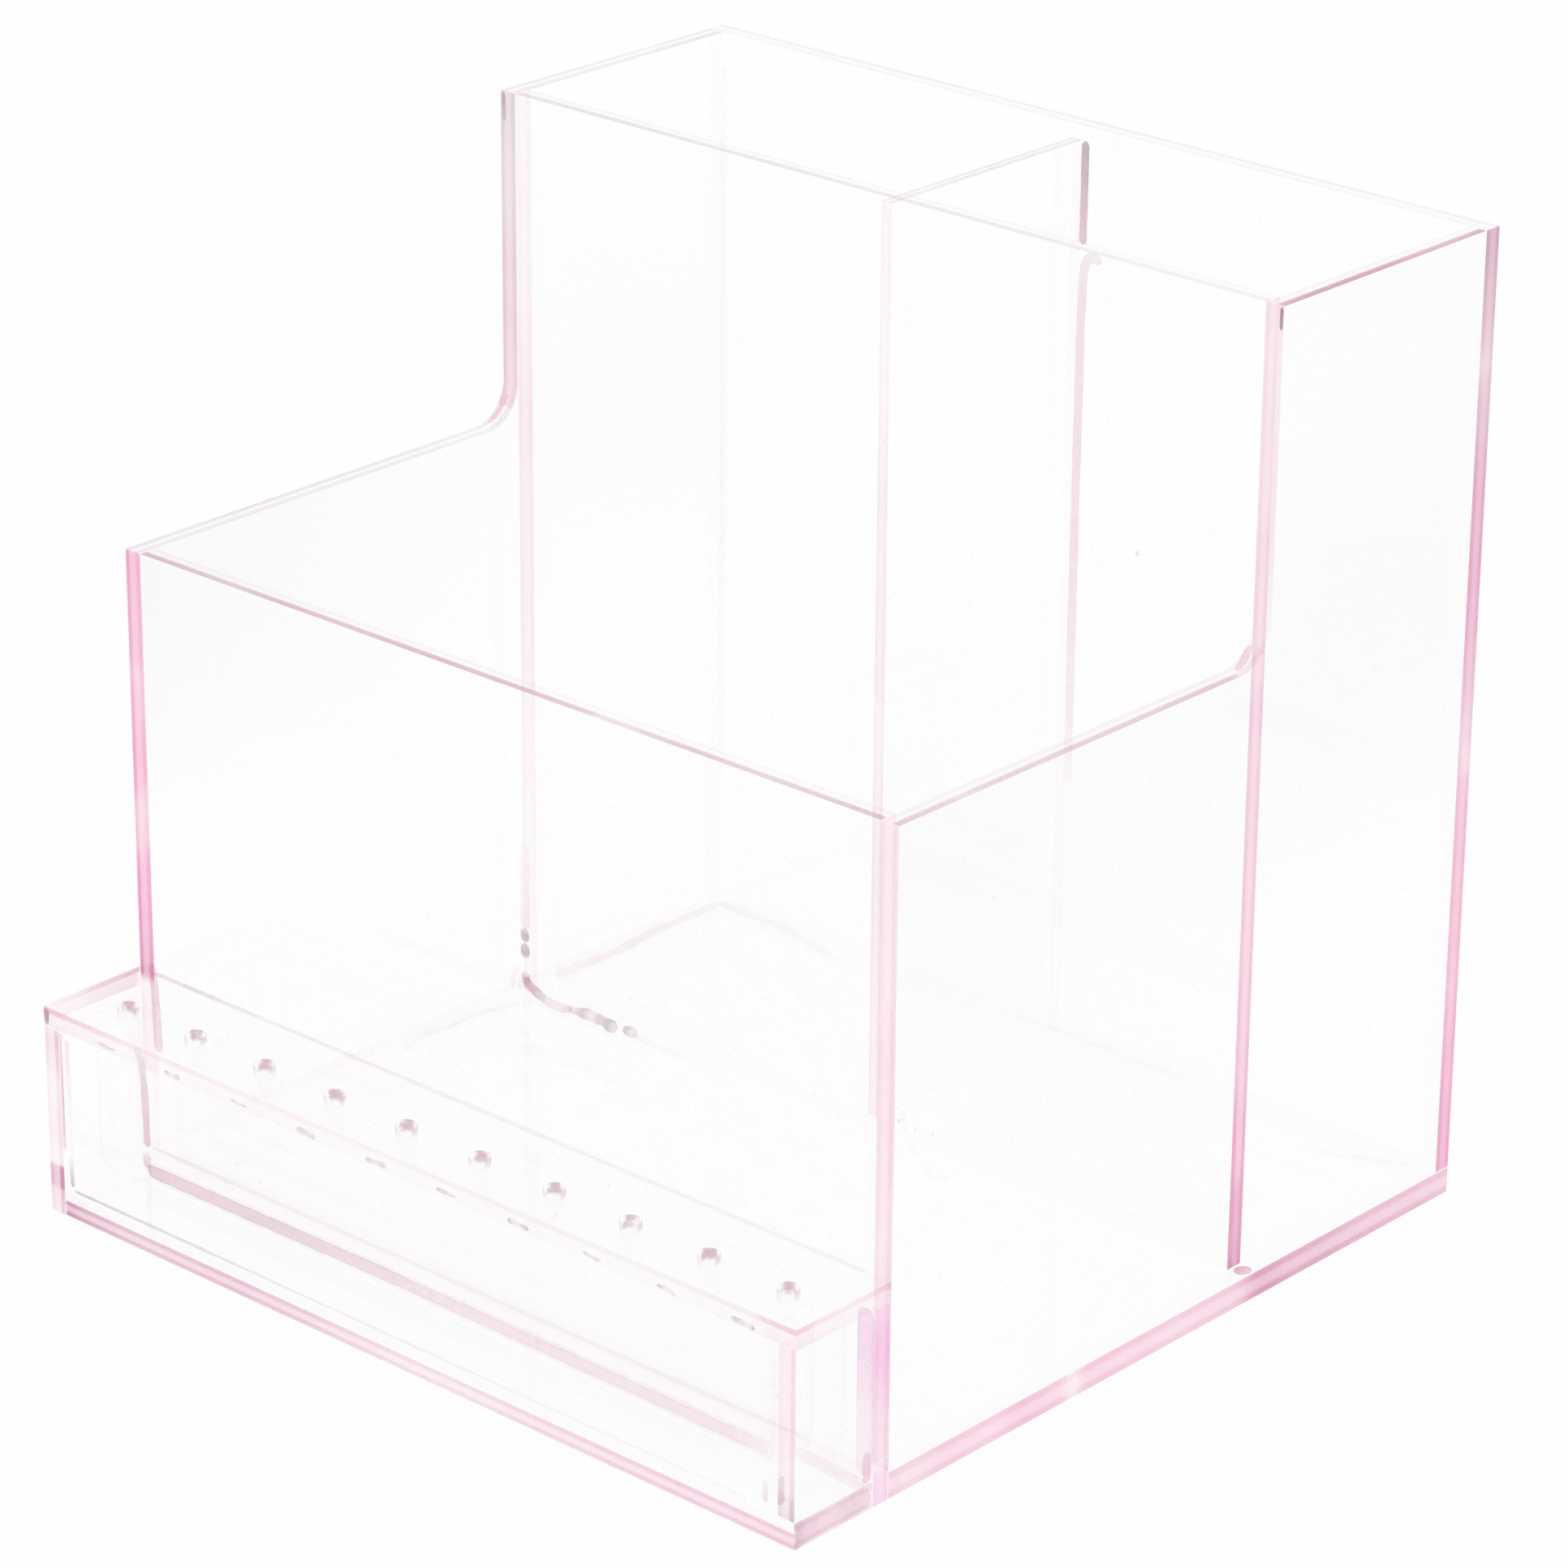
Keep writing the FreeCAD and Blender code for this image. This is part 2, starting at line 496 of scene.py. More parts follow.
def cut_edge(tree, place, facing, inside, across, runs, look):
    across_band, in_band = tinted_band(tree, across, facing, look["front_band"])
    rim = rim_lines(tree, across_band, look["rims"])
    strength, dusk = edge_strength(tree, facing, runs, look)
    strength = times(tree, strength, times_plus(tree, rim, RIM_SHARE, look["core"]))
    if in_band:
        strength = times(tree, strength, in_band)
    dusk = times_plus(tree, calc(tree, "MINIMUM", rim, 1.2), look["rim_dusk"], dusk)
    if look["lines"]:
        on_top = calc(tree, "GREATER_THAN", facing[Z], EDGE_FACING)
        strength = pick(tree, on_top, strength, top_lines(tree, across, runs, look))
        dusk = pick(tree, on_top, dusk, look["line_dusk"])
    slow = noise(tree, place, STRETCH_SCALE, 2.0)
    strength = times(tree, strength, ramp(tree, slow, 0.30, 0.70, 0.82, 1.14))
    strength = times(tree, strength, ramp(tree, slow, 0.30, 0.37, 1.0 - look["flaws"], 1.0))
    strength = times(tree, strength, times_plus(tree, inside, look["inside"] - 1, 1.0))
    polish = noise(tree, place, POLISH_SCALE, 2.0)
    through = add(tree, "BsdfTransparent", {"Color": FACE_TINT})
    colour = blend_colour(tree, dusk, look["colour"], DUSKY)
    roughness = ramp(tree, polish, 0.3, 0.7, 0.08, 0.2)
    return mix(tree, strength, through, acrylic(tree, colour, roughness, bumps(tree, polish, 0.15, 0.05)))


print("stretches of polish:", round(1 / STRETCH_SCALE / MM), "mm")

# %% [markdown]
# ## Drilled holes
#
# The tool holes are drilled, not polished, so their walls are a little rough. Most of the wall
# still lets the light through. The part of the wall that faces towards the camera's corner, the
# far side of the hole from there, is painted as a dusky spot, a painted shade. A thin line is
# painted along the rim on each side of it, and a faint ring around the hole.

# %% Shader of a drilled wall
SHADED_WALL_WAY, RIGHT_LINE_WAY, LEFT_LINE_WAY = (0.62, -0.78), (-0.92, -0.40), (0.54, 0.84)
SHADE_DUSK = 0.60
HOLE_ROW_REACH = 2.0 * MM


def leaning(tree, facing, way):
    """How far a wall faces a level direction: 1 straight on, 0 side on."""
    return times_plus(tree, facing[X], way[X], times(tree, facing[Y], way[Y]))


def drilled_wall(tree, place, facing, across):
    """The strength of the tint on the walls of the tool holes."""
    ragged = times_plus(tree, noise(tree, place, POLISH_SCALE, 2.0), 0.8, -0.4)
    depth = calc(tree, "ADD", across, ragged)
    # The dusky spot is painted shade, on the part of the wall that faces towards the camera's corner.
    spot = ramp(tree, calc(tree, "ADD", leaning(tree, facing, SHADED_WALL_WAY), ragged), 0.62, 1.02)
    spot = times(tree, spot, ramp(tree, depth, -0.45, 0.30, 0.0, 0.64))
    right_line = ramp(tree, leaning(tree, facing, RIGHT_LINE_WAY), 0.60, 0.95, 0.0, 0.32)
    left_line = ramp(tree, leaning(tree, facing, LEFT_LINE_WAY), 0.70, 0.98, 0.0, 0.20)
    lines = times(tree, calc(tree, "MAXIMUM", right_line, left_line), ramp(tree, depth, -0.1, 0.5))
    ring = ramp(tree, across, 0.70, 0.95, 0.015, 0.08)
    return calc(tree, "MAXIMUM", calc(tree, "MAXIMUM", spot, lines), ring)


def drilled_row(tree, place, parts, facing, across, row_y, reach_x, edge):
    """Puts the drilled finish on the holes of one row, and leaves the other edges as they are."""
    in_row = calc(tree, "COMPARE", parts[Y], row_y * MM, HOLE_ROW_REACH)
    between = calc(tree, "LESS_THAN", calc(tree, "ABSOLUTE", parts[X]), reach_x - HOLE_ROW_REACH)
    # Its colour is that of the painted shade, and the lines and the ring share it.
    rough = acrylic(tree, blend_colour(tree, SHADE_DUSK, PINK, DUSKY), 0.45)
    clear = add(tree, "BsdfTransparent", {"Color": FACE_TINT})
    drilled = mix(tree, drilled_wall(tree, place, facing, across), clear, rough)
    return mix(tree, times(tree, in_row, between), edge, drilled)


print("the dusky spot faces:", SHADED_WALL_WAY)

# %% [markdown]
# ## One finish per sheet
#
# The two shaders meet in one material. The normal along the sheet's thin axis tells a face from
# a cut edge, and the Mix Shader then runs only the half it needs, which keeps the render quick.

# %% Finish of a sheet
FACE_FACING = 0.93


def sheet_finish(name, node, seed, **own_look):
    look = {**USUAL_EDGE, **own_look}
    thin = look["thin"]
    low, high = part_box(node)
    middle, half = (low + high) / 2, (high - low) / 2
    material, tree = new_material(name)
    own_place = add(tree, "TexCoord", output="Object")
    place = add(tree, "Mapping", {"Vector": own_place, "Location": (seed, seed * 2, seed * 3)})
    parts = split(tree, own_place)
    inside = add(tree, "NewGeometry", output="Backfacing")
    # A normal is turned towards the ray, so on surfaces seen from inside it is turned back outwards.
    outwards = add(tree, "VectorMath", {
        "Vector": add(tree, "TexCoord", output="Normal"),
        "Scale": times_plus(tree, inside, -2.0, 1.0)}, operation="SCALE")
    facing = split(tree, outwards)
    across = times_plus(tree, parts[thin], 1 / half[thin], -middle[thin] / half[thin])
    runs = [(parts[axis], (low[axis], high[axis])) for axis in (X, Y, Z)]
    on_face = calc(tree, "GREATER_THAN", calc(tree, "ABSOLUTE", facing[thin]), FACE_FACING)
    edge = cut_edge(tree, place, facing, inside, across, runs, look)
    if "hole_row" in look:
        edge = drilled_row(tree, place, parts, facing, across, look["hole_row"], high.x, edge)
    show(tree, mix(tree, on_face, edge, clear_face(tree, place, parts, look["painted_sheen"])))
    return material


print("finish ready")

# %% [markdown]
# ## The sheets of the holder
#
# Each sheet has its own bright and dull edges, because that depends on how much sheet lies
# behind the cut. One table holds what differs, and one loop makes every sheet from it.
# An edge is named by the way it faces. Its strength runs from 0, clear, to 1, solid. Where it
# changes along the edge, a list of stops gives the place in millimetres, the strength and how
# dusky it is there. The same goes for the two fine lines of a top edge.

# %% Make the sheets
SHEETS = {
    "base_plate": dict(thin=Z, core=0.9, flaws=0.5, ends={
        "+x": [(-51, .44, 0), (-47, .34, 0), (-38, .44, 0), (-24, .52, 0), (-17, .44, 0), (-14, .22, 0),
               (-11, .44, 0), (10, .48, .02), (20, .47, .05), (26, .76, .24), (42, .74, .22), (52, .6, .15),
               (69, .58, .15)],
        "-x": .5, "-y": .05, "+y": .5}),
    # The side panels get a painted sheen: a soft grey reflection painted into their faces.
    "left_side_panel": dict(thin=X, rims=(1, 0.7), painted_sheen=(0.17, 30, -30), line_dusk=0.9, lines=[
        (-51, .28, .2), (16, .22, .18), (22, .24, .24), (66, .24, .28)], ends={
        "-y": [(4, .05, 0), (29, .07, 0), (31, .84, .14), (45, .94, .02), (70, .88, .02), (93, .84, .05),
               (95, .48, .25), (118, .47, .42), (132, .37, .68), (143, .41, .85)],
        "+z": .5, "-z": .3, "+y": .2}),
    "right_side_panel": dict(thin=X, rims=(0.6, 1.6), core=0.64, painted_sheen=(0.14, -5, 45), line_dusk=0.62, lines=[
        (-51, .12, .56), (15, .14, .56), (17, .1, .22), (22.3, .1, .22), (22.8, .1, 1), (66, .1, .95)], ends={
        "-y": [(4, .27, 0), (27, .3, 0), (31, .6, .08), (42, .45, 0), (60, .34, 0), (93, .27, 0),
               (95, .07, .2), (101, .11, .25), (112, .22, .2), (120, .25, .15), (137, .24, .1),
               (143, .3, .2)],
        "+z": .5, "-z": .3, "+y": .3}),
    "front_panel": dict(thin=Y, lines=[(-67, .68, .1), (67, .61, .08)], line_dusk=0.62, ends={
        "-x": .12, "+x": .1, "-z": .1}),
    "middle_panel": dict(thin=Y, inside=0.3, core=0.94, line_dusk=0.95, lines=[
        (-67, .32, .1), (67, .17, .06)], ends={
        "-x": [(4, .26, .15), (14, .28, .1), (30, .32, .05), (45, .38, 0), (60, .52, 0), (75, .66, 0),
               (93, .72, 0), (105, .52, 0), (120, .36, .05), (143, .34, .1)],
        "+x": [(4, 1, .24), (12, .96, .14), (20, .73, .02), (50, .54, 0), (85, .46, 0), (94, .33, 0),
               (143, .2, 0)],
        "-z": .02}),
    "back_panel": dict(thin=Y, core=1, rims=(0.6, 0.6), line_dusk=0.75, lines=[
        (-70, .1, .2), (70, .1, .2)], ends={
        "-x": .25,
        "+x": [(4, .7, .14), (20, .69, .12), (50, .66, .12), (92, .7, .28), (125, .66, .48),
               (138, .66, .56), (143, .78, .6)],
        "-z": .03}),
    "brush_divider": dict(thin=X, inside=0.3, lines=[(25, .26, .24), (66, .31, .29)], line_dusk=0.9, ends={
        "-y": [(4, .17, .1), (40, .25, .1), (70, .27, .05), (95, .22, .2), (115, .13, .2), (141, .1, .2)],
        "+y": .1, "-z": .05}),
    "rack_back_wall": dict(thin=Y, colour=MAGENTA, rims=(0.4, 0.9), rim_dusk=0.06, ends={
        "-x": .4,
        "+x": [(0, .46, 0), (4, .4, 0), (6, .11, 0), (12, .14, 0), (16, .34, 0), (22, .7, .05),
               (28, .52, 0)],
        "+z": .03, "-z": .1}),
    "rack_left_end": dict(thin=X, rims=(0.5, 2), rim_dusk=0.24, core=0.58, flaws=0.2, ends={
        "-y": [(0, .38, .1), (3.5, .5, .05), (4.5, .9, .25), (7, .9, .25), (8, .2, 0), (10, .22, 0),
               (11, .3, .1), (20, .36, 0), (24, .64, .1), (27, .74, .12), (28.5, .5, .1)],
        "+z": .04, "-z": .1, "+y": .05}),
    "rack_right_end": dict(thin=X, rims=(0.3, 1.2), rim_dusk=0.1, core=0.34, inside=1, ends={
        "-y": [(4, .8, .8), (6.5, .72, .6), (8.5, .55, .12), (20, .56, 0), (28.5, .6, 0)],
        "+z": [(-69, .14, 0), (-60, .08, .05), (-54, .08, 0)], "-z": .05,
        "+y": [(4, .1, 0), (12, .12, 0), (22, .16, 0), (28.5, .14, 0)]}),
    "rack_base_plate": dict(thin=Z, rims=(1.5, 1.5), core=0.75, front_band=(-0.88, 0.22), ends={
        "-y": [(-67, .68, .48), (-62, .62, .3), (-50, .56, .22), (-20, .48, .16), (0, .34, .02),
               (30, .36, 0), (60, .44, 0), (70, .55, .05)],
        "+y": .06,
        "+x": [(-69, .6, .5), (-66, .34, .2), (-62, .26, .12), (-58, .3, .3), (-54, .24, .15)],
        "-x": .4}),
    "rack_top_plate": dict(thin=Z, inside=1, hole_row=-61, rims=(0.2, 2.2), rim_dusk=0.1, core=0.24, ends={
        "-y": [(-70, .6, .25), (-60, .45, .1), (-50, .24, .05), (-30, .15, .1), (0, .12, .25),
               (40, .13, .55), (62, .18, .45), (66, .5, .1), (70, .6, .05)],
        "+y": .03,
        "+x": [(-69, .62, .05), (-64, .28, .05), (-60, .22, .25), (-55, .3, .15), (-51, .5, .1)],
        "-x": [(-69, .12, .1), (-64, .2, 0), (-58, .55, 0), (-51, .7, 0)]}),
}
SEED_STEP = 0.13
for number, (node, look) in enumerate(SHEETS.items()):
    sheet = eased_sheet(node + "_sheet", node)
    sheet.data.materials.append(sheet_finish(node + "_finish", node, seed=SEED_STEP * number, **look))
print("sheets made:", len(SHEETS))

# %% [markdown]
# ## The moulded drawer
#
# The drawer is one moulded tray. Its flat walls are as clear as the sheets, and its rounded
# corners bend the light, so they show as soft grey and pink lines. Again the normal does the
# work: it is tilted between two axes only where the wall curves.

# %% Finish of the drawer
CORNER_STRENGTH = 0.035
UNEVEN_SCALE, SINK_SCALE, TONE_SCALE = 60.0, 30.0, 25.0


def drawer_finish():
    material, tree = new_material("moulded_drawer_finish")
    place = add(tree, "TexCoord", output="Object")
    facing = split(tree, add(tree, "TexCoord", output="Normal"))
    largest = 0.0
    for axis in (X, Y, Z):
        largest = calc(tree, "MAXIMUM", calc(tree, "ABSOLUTE", facing[axis]), largest)
    curved = ramp(tree, largest, 0.72, 0.995, 1.0, 0.0)
    patchy = ramp(tree, noise(tree, place, UNEVEN_SCALE, 2.0), 0.3, 0.7, 0.5, 1.2)
    sink = bumps(tree, noise(tree, place, SINK_SCALE, 1.0), 0.08, 0.5)
    clean = clear_and_mirror(tree, FACE_TINT, sink)
    tone = ramp(tree, noise(tree, place, TONE_SCALE, 1.0), 0.4, 0.6, 0.45, 0.8)
    tint = acrylic(tree, blend_colour(tree, tone, PINK, DUSKY), 0.1, sink)
    show(tree, mix(tree, times(tree, times(tree, patchy, curved), CORNER_STRENGTH), clean, tint))
    return material


drawer = nodes["drawer"]
drawer.data.materials.clear()
drawer.data.materials.append(drawer_finish())
drawer_low, drawer_high = in_mm(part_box("drawer"))
print("drawer box in mm:", drawer_low, drawer_high)

# %% [markdown]
# ## Dried cement
#
# Solvent cement is run into a joint with a needle, and capillary pull spreads it. Where there is
# too much, it creeps out of the joint and dries as a thin wavy bead, and where there is too
# little, the joint stays dull. These runs are what tells a hand-made holder from a moulded one.
# Each one is modelled as a low ridge with an uneven width that follows a few listed points.
# A ridge could be a bevelled curve, but a swept ring in bmesh can be flattened against
# the sheet it lies on. Blender seeds its noise from the clock, so a seed is set first, or the
# small waves would change on each run.

# %% Sweep a ridge of cement
RIDGE_STEP = 0.4 * MM
RIDGE_SIDES = 8
WAVE_LENGTH = 2.5 * MM
ROUNDINGS = 3
LEAST_END = 0.15
wave_noise.seed_set(7)


def wavy_path(points, normal, wobble, shift):
    """The points in between, rounded off, with a small wave that stays in the surface."""
    points = [Vector(p) * MM for p in points]
    path = []
    for a, b in zip(points, points[1:]):
        steps = max(2, round((b - a).length / RIDGE_STEP))
        path += [a.lerp(b, i / steps) for i in range(steps)]
    path.append(points[-1])
    for _ in range(ROUNDINGS):
        inner = [(p + 2 * q + r) / 4 for p, q, r in zip(path, path[1:], path[2:])]
        path = [path[0], *inner, path[-1]]
    wave = [wave_noise.noise_vector(p / WAVE_LENGTH + shift) * wobble * MM for p in path]
    return [p + w - normal * w.dot(normal) for p, w in zip(path, wave)]


def oval_rings(mesh, path, normal, width, thickness, uneven, shift):
    """One oval ring of corners at each point of the path, smaller towards both ends."""
    angles = [2 * math.pi * side / RIDGE_SIDES for side in range(RIDGE_SIDES)]
    round_off = 0.5 * width * MM
    for i, point in enumerate(path):
        ahead = path[min(i + 1, len(path) - 1)] - path[max(i - 1, 0)]
        across = normal.cross(ahead).normalized()
        swell = 1.0 + uneven * wave_noise.noise(point / WAVE_LENGTH - shift)
        from_end = min(1.0, min((point - path[0]).length, (point - path[-1]).length) / round_off)
        taper = max(LEAST_END, math.sqrt(from_end * (2 - from_end)))
        wide, thick = (0.5 * size * MM * swell * taper for size in (width, thickness))
        ring = [point + across * wide * math.cos(a) + normal * thick * math.sin(a) for a in angles]
        yield [mesh.verts.new(corner) for corner in ring]


def sweep_ridge(name, *shape):
    """A closed ridge: rings joined side by side, and capped at both ends."""
    mesh = bmesh.new()
    rings = list(oval_rings(mesh, *shape))
    for one, two in zip(rings, rings[1:]):
        for side in range(RIDGE_SIDES):
            after = (side + 1) % RIDGE_SIDES
            mesh.faces.new((one[side], one[after], two[after], two[side]))
    mesh.faces.new(list(reversed(rings[0])))
    mesh.faces.new(rings[-1])
    bmesh.ops.recalc_face_normals(mesh, faces=mesh.faces)
    ridge = to_object(name, mesh)
    ridge.data.shade_smooth()
    return ridge


print("ridge step:", RIDGE_STEP / MM, "mm")

# %% [markdown]
# ## The finish of dried cement
#
# Dried cement is clear too. It shows because its round surface bends the light away, grey where
# it is clean and pink where it picks up the tint of an edge. Stops along the ridge say how
# strongly it shows and how dusky it is, and noise breaks it up into short stretches.

# %% Finish of a ridge
BREAK_SCALE, SKIN_SCALE = 480.0, 1500.0


def cement_finish(name, axis, span, stops, broken, colour):
    material, tree = new_material(name)
    place = add(tree, "TexCoord", output="Object")
    parts = split(tree, place)
    read = edge_stops(tree, parts[axis], span, stops)
    short = ramp(tree, noise(tree, place, BREAK_SCALE, 2.0), 0.35, 0.6, 1.0 - broken, 1.0)
    outside = calc(tree, "SUBTRACT", 1.0, add(tree, "NewGeometry", output="Backfacing"))
    shows = times(tree, times(tree, read[0], short), outside)
    through = add(tree, "BsdfTransparent", {"Color": FACE_TINT})
    skin = noise(tree, place, SKIN_SCALE, 2.0)
    colour = blend_colour(tree, read[1], colour, DUSKY)
    roughness = ramp(tree, skin, 0.3, 0.7, 0.12, 0.3)
    solid = acrylic(tree, colour, roughness, bumps(tree, skin, 0.2, 0.05))
    show(tree, mix(tree, shows, through, solid))
    return material


def cement_ridge(
        name, points, on, width, stops, axis=X, thickness=0.8, wobble=0.15, uneven=0.5, broken=0.35,
        body="holder", colour=PINK):
    """One run of cement. on is the way its sheet faces, and stops are millimetres along the axis."""
    way, sign = DIRECTIONS[on]
    normal = Vector([sign if i == way else 0 for i in (X, Y, Z)])
    shift = Vector((len(name), len(points), width))
    path = wavy_path(points, normal, wobble, shift)
    ridge = sweep_ridge(name, path, normal, width, thickness, uneven, shift)
    span = (stops[0][0] * MM, stops[-1][0] * MM)
    ridge.data.materials.append(cement_finish(name + "_finish", axis, span, stops, broken, colour))
    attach(ridge, body)
    return ridge


def upright(x, y, *heights):
    return [(x, y, z) for z in heights]


def sideways(y, z, *places):
    return [(x, y, z) for x in places]


def backwards(x, z, *places):
    return [(x, y, z) for y in places]


print("cement ridges ready")

# %% [markdown]
# ## Runs of cement on the floor of the compartments
#
# On the real holder the most visible runs lie around the left end of the middle panel, where
# the maker's needle rested. They get paler towards the corners.

# %% Cement on the floor
FLOOR_Z = 4.45
CORNER_BEAD = dict(thickness=1.2, uneven=.25, broken=.2)


def floor_run(name, spots, width, stops, **look):
    """A run on the base plate. A spot is x and y, with a z as well where the run climbs a wall."""
    return cement_ridge(name, [(*spot, FLOOR_Z)[:3] for spot in spots], "+z", width, stops, **look)


ridges = [
    floor_run(
        "cement_left_rear",
        [(-66.2, 28.6), (-66.3, 34.8), (-65.8, 41.4), (-66.4, 50.2), (-66.4, 56.9), (-66.4, 65.4)],
        1.2, [(28, .09, .75), (38, .14, .3), (48, .15, .75), (66, .11, .8)], axis=Y, **CORNER_BEAD),
    floor_run(
        "cement_left_rear_edge", [(-65.2, 30.5), (-65.4, 38), (-65.8, 47)],
        1.2, [(30, .02, .3), (38, .1, .1), (47, .02, .3)], axis=Y),
    floor_run(
        "cement_back_left",
        [(-66.4, 65.4), (-60.4, 64.9), (-55.4, 65.2), (-50.5, 64.6), (-43.2, 62.8), (-36, 60.5)],
        1.2, [(-67, .12, .7), (-55, .09, .6), (-43, .06, .5), (-36, .02, .5)], **CORNER_BEAD),
    floor_run(
        "cement_back_middle", [(-12, 65.2), (1.4, 65.4), (20.7, 65.1), (32.7, 65.5)],
        0.8, [(-12, .01, .6), (0, .05, .6), (20, .05, .6), (33, .01, .6)]),
    floor_run(
        "cement_right_rear", [(51, 59.1), (55.9, 60.2), (66.4, 64.9)],
        0.8, [(51, .01, .6), (58, .06, .6), (67, .05, .6)]),
    floor_run(
        "cement_front_left",
        [(-64.5, -4.7), (-66.3, 0.6), (-65.1, 5.1), (-65.5, 9.8), (-65.1, 12.8), (-63.2, 17.8)],
        0.9, [(-5, .05, .85), (4, .11, .8), (12, .08, .75), (18, .04, .6)], axis=Y),
    floor_run(
        "cement_middle_run",
        [(-66.3, 22, 6), (-65, 22, 5.2), (-63, 21.9), (-60.8, 21.2), (-58.8, 20.8), (-57.3, 21), (-56, 21.6)],
        1.4, [(-66.5, .62, .6), (-64, .68, .72), (-62, .5, .75), (-60, .28, .5), (-58, .26, .1),
              (-56, .42, .45)],
        thickness=1.3, uneven=.3, broken=.15),
    floor_run(
        "cement_middle_waves",
        [(-56.4, 21.4), (-53.7, 22.1), (-52, 22), (-50.2, 21.8), (-48.4, 21.6), (-46.6, 20.9)],
        1.9, [(-56, .4, .5), (-53.5, .52, .75), (-52, .34, .35), (-50, .5, .7), (-48, .6, .95),
              (-46.6, .32, .6)],
        thickness=1.8, wobble=.25, uneven=.7, broken=.25),
    floor_run(
        "cement_middle_drop", [(-46, 22.1), (-44.8, 22), (-43.2, 21.6)],
        1.5, [(-46.2, .36, .9), (-45, .56, 1), (-43.2, .22, .9)], thickness=1.3, wobble=.05, broken=.1),
    floor_run(
        "cement_middle_tail", [(-43.4, 21.4), (-39.5, 20.8), (-34.9, 20.9), (-27.9, 21.2)],
        0.8, [(-43.4, .12, .9), (-38, .08, .6), (-28, .01, .6)]),
]
print("ridges on the floor:", len(ridges))

# %% [markdown]
# ## Runs of cement down the upright joints
#
# Cement also runs down inside the upright corners. It gathers in dark drops near the floor, and
# leaves a paler line above them. Where the divider meets the back panel, the bare joint above
# the middle panel is darkest.

# %% Cement on the upright joints
DROP = dict(on="-y", thickness=.5, wobble=.03, uneven=.1, broken=.05)
SMEAR = dict(on="+x", thickness=.3, wobble=.1, uneven=.5, broken=.35)
JOINT_X, JOINT_Y = -66.3, 22.2


def upright_run(name, points, width, stops, **look):
    """A run up and down a wall, shaped like a drop unless something else is asked for."""
    return cement_ridge(name, points, width=width, stops=stops, axis=Z, **(DROP | look))


uprights = [
    upright_run(
        "cement_left_joint", upright(JOINT_X, JOINT_Y, 28, 20, 14.2),
        2, [(14, .2, .2), (20, .14, .05), (28, .08, .05)], thickness=.4, wobble=.05, broken=.1),
    upright_run(
        "cement_left_drop", upright(JOINT_X, JOINT_Y, 14.4, 13.2, 12),
        1.8, [(12, .46, .9), (13.2, .66, 1), (14.4, .36, .85)]),
    upright_run(
        "cement_left_drop_low", upright(JOINT_X, JOINT_Y, 11.9, 10.7, 9.4),
        1.8, [(9.4, .4, .85), (10.7, .66, 1), (11.9, .46, .9)]),
    upright_run(
        "cement_left_foot",
        [(JOINT_X, JOINT_Y, 7.4), (JOINT_X + 0.1, JOINT_Y, 6.4), (JOINT_X + 0.4, JOINT_Y, 5.2)],
        1.8, [(5.2, .6, .7), (6.4, .62, .65), (7.4, .25, .1)], uneven=.2, broken=.1),
    upright_run(
        "cement_left_foot_pink", [(-65.9, JOINT_Y, 5.6), (-65.7, JOINT_Y, 4.2), (-65.6, 21.6, FLOOR_Z - 0.3)],
        1.8, [(4, .2, 0), (5.6, .34, 0)], thickness=.4, uneven=.2, broken=.1),
    upright_run(
        "cement_left_smear", [(-66.8, 20.9, 9), (-66.8, 20.4, 7), (-66.8, 20, 5.2)],
        1.2, [(5.2, .18, .4), (7, .18, .25), (9, .05, .1)], **SMEAR),
    upright_run(
        "cement_left_smear_low", [(-66.8, 22, 7), (-66.8, 21.6, 5.4), (-66.8, 21.9, 4.4)],
        1, [(4.3, .2, .6), (5.6, .14, .15), (7, .03, .05)], **SMEAR),
    upright_run(
        "cement_rear_left_corner", upright(-66.7, 65.7, 138, 80, 26),
        1.2, [(26, .02, .3), (60, .07, .3), (110, .07, .6), (138, .04, .7)],
        thickness=.4, wobble=.05, uneven=.2, broken=.2),
    upright_run(
        "cement_divider_rear_top", [(1.55, 65.8, 140.9), (1.55, 65.8, 133), (1.5, 65.8, 125.8)],
        1.35, [(125.6, .58, .55), (130, .62, .62), (136, .68, .82), (140.9, .7, .95)], thickness=.3),
    upright_run(
        "cement_divider_rear_low",
        [(5, 65.8, 124), (3.4, 65.8, 124.4), (2.3, 65.8, 123.8), (1.8, 65.8, 122), (1.55, 65.8, 115),
         (1.45, 65.8, 90), (1.45, 65.8, 60), (1.45, 65.8, 44)],
        1.5, [(44, .09, .1), (56, .24, .12), (80, .38, .12), (105, .36, .25), (118, .32, .45),
              (124.5, .24, .6)],
        thickness=.3, broken=.12),
]
print("ridges on the upright joints:", len(uprights))

# %% [markdown]
# ## Cement at the step of the side panels
#
# Each side panel turns from its low front part to its tall rear part in a small round corner.
# The middle panel is cemented behind that corner, and some cement gathered there. Some of it
# lies so thin that it only tints what is behind it, and such a ridge is called a film here.

# %% Cement at the step
FILM = dict(axis=Z, thickness=.03, wobble=.03, uneven=.1, broken=.1)


def film(name, points, on, width, stops, **look):
    """A ridge as thin as paper, upright unless another axis is given."""
    return cement_ridge(name, points, on, width, stops, **(FILM | look))


